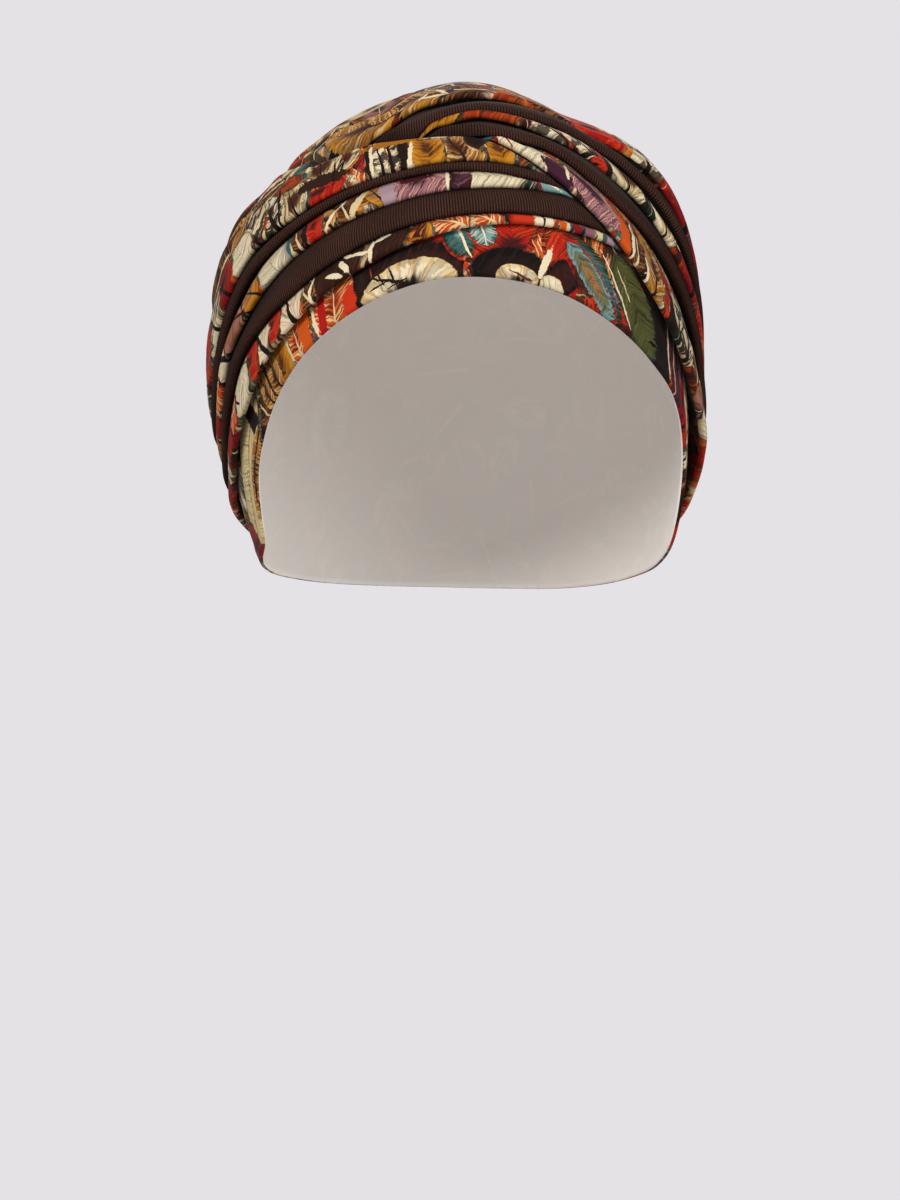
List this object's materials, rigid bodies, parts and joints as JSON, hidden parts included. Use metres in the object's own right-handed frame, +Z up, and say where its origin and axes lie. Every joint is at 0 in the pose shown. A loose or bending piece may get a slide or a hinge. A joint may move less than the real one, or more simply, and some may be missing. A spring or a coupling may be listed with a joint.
{
  "type": "turban headwrap",
  "caption": "Pull-on turban headwrap: a close printed jersey cap wound with a scarf of printed pleats and dark ribbed jersey facings, crossed above the forehead.",
  "frame": {"origin": "inside of the crown, where the top of the head bears", "axes": "+Z up through the crown, the wearer looks along -Y, and the wearer's left is +X"},
  "size_m": [0.1809, 0.1959, 0.1828],
  "materials": {
    "printed_jersey": "soft matt jersey with a feather print",
    "ribbed_jersey": "dark brown fine rib, matt"
  },
  "bodies": {
    "root": {"cap": "printed_jersey", "print_pleat_low": "printed_jersey", "rib_pleat_wide": "ribbed_jersey", "print_pleat_mid": "printed_jersey", "rib_pleat_slim": "ribbed_jersey", "print_pleat_high": "printed_jersey"}
  },
  "joints": []
}
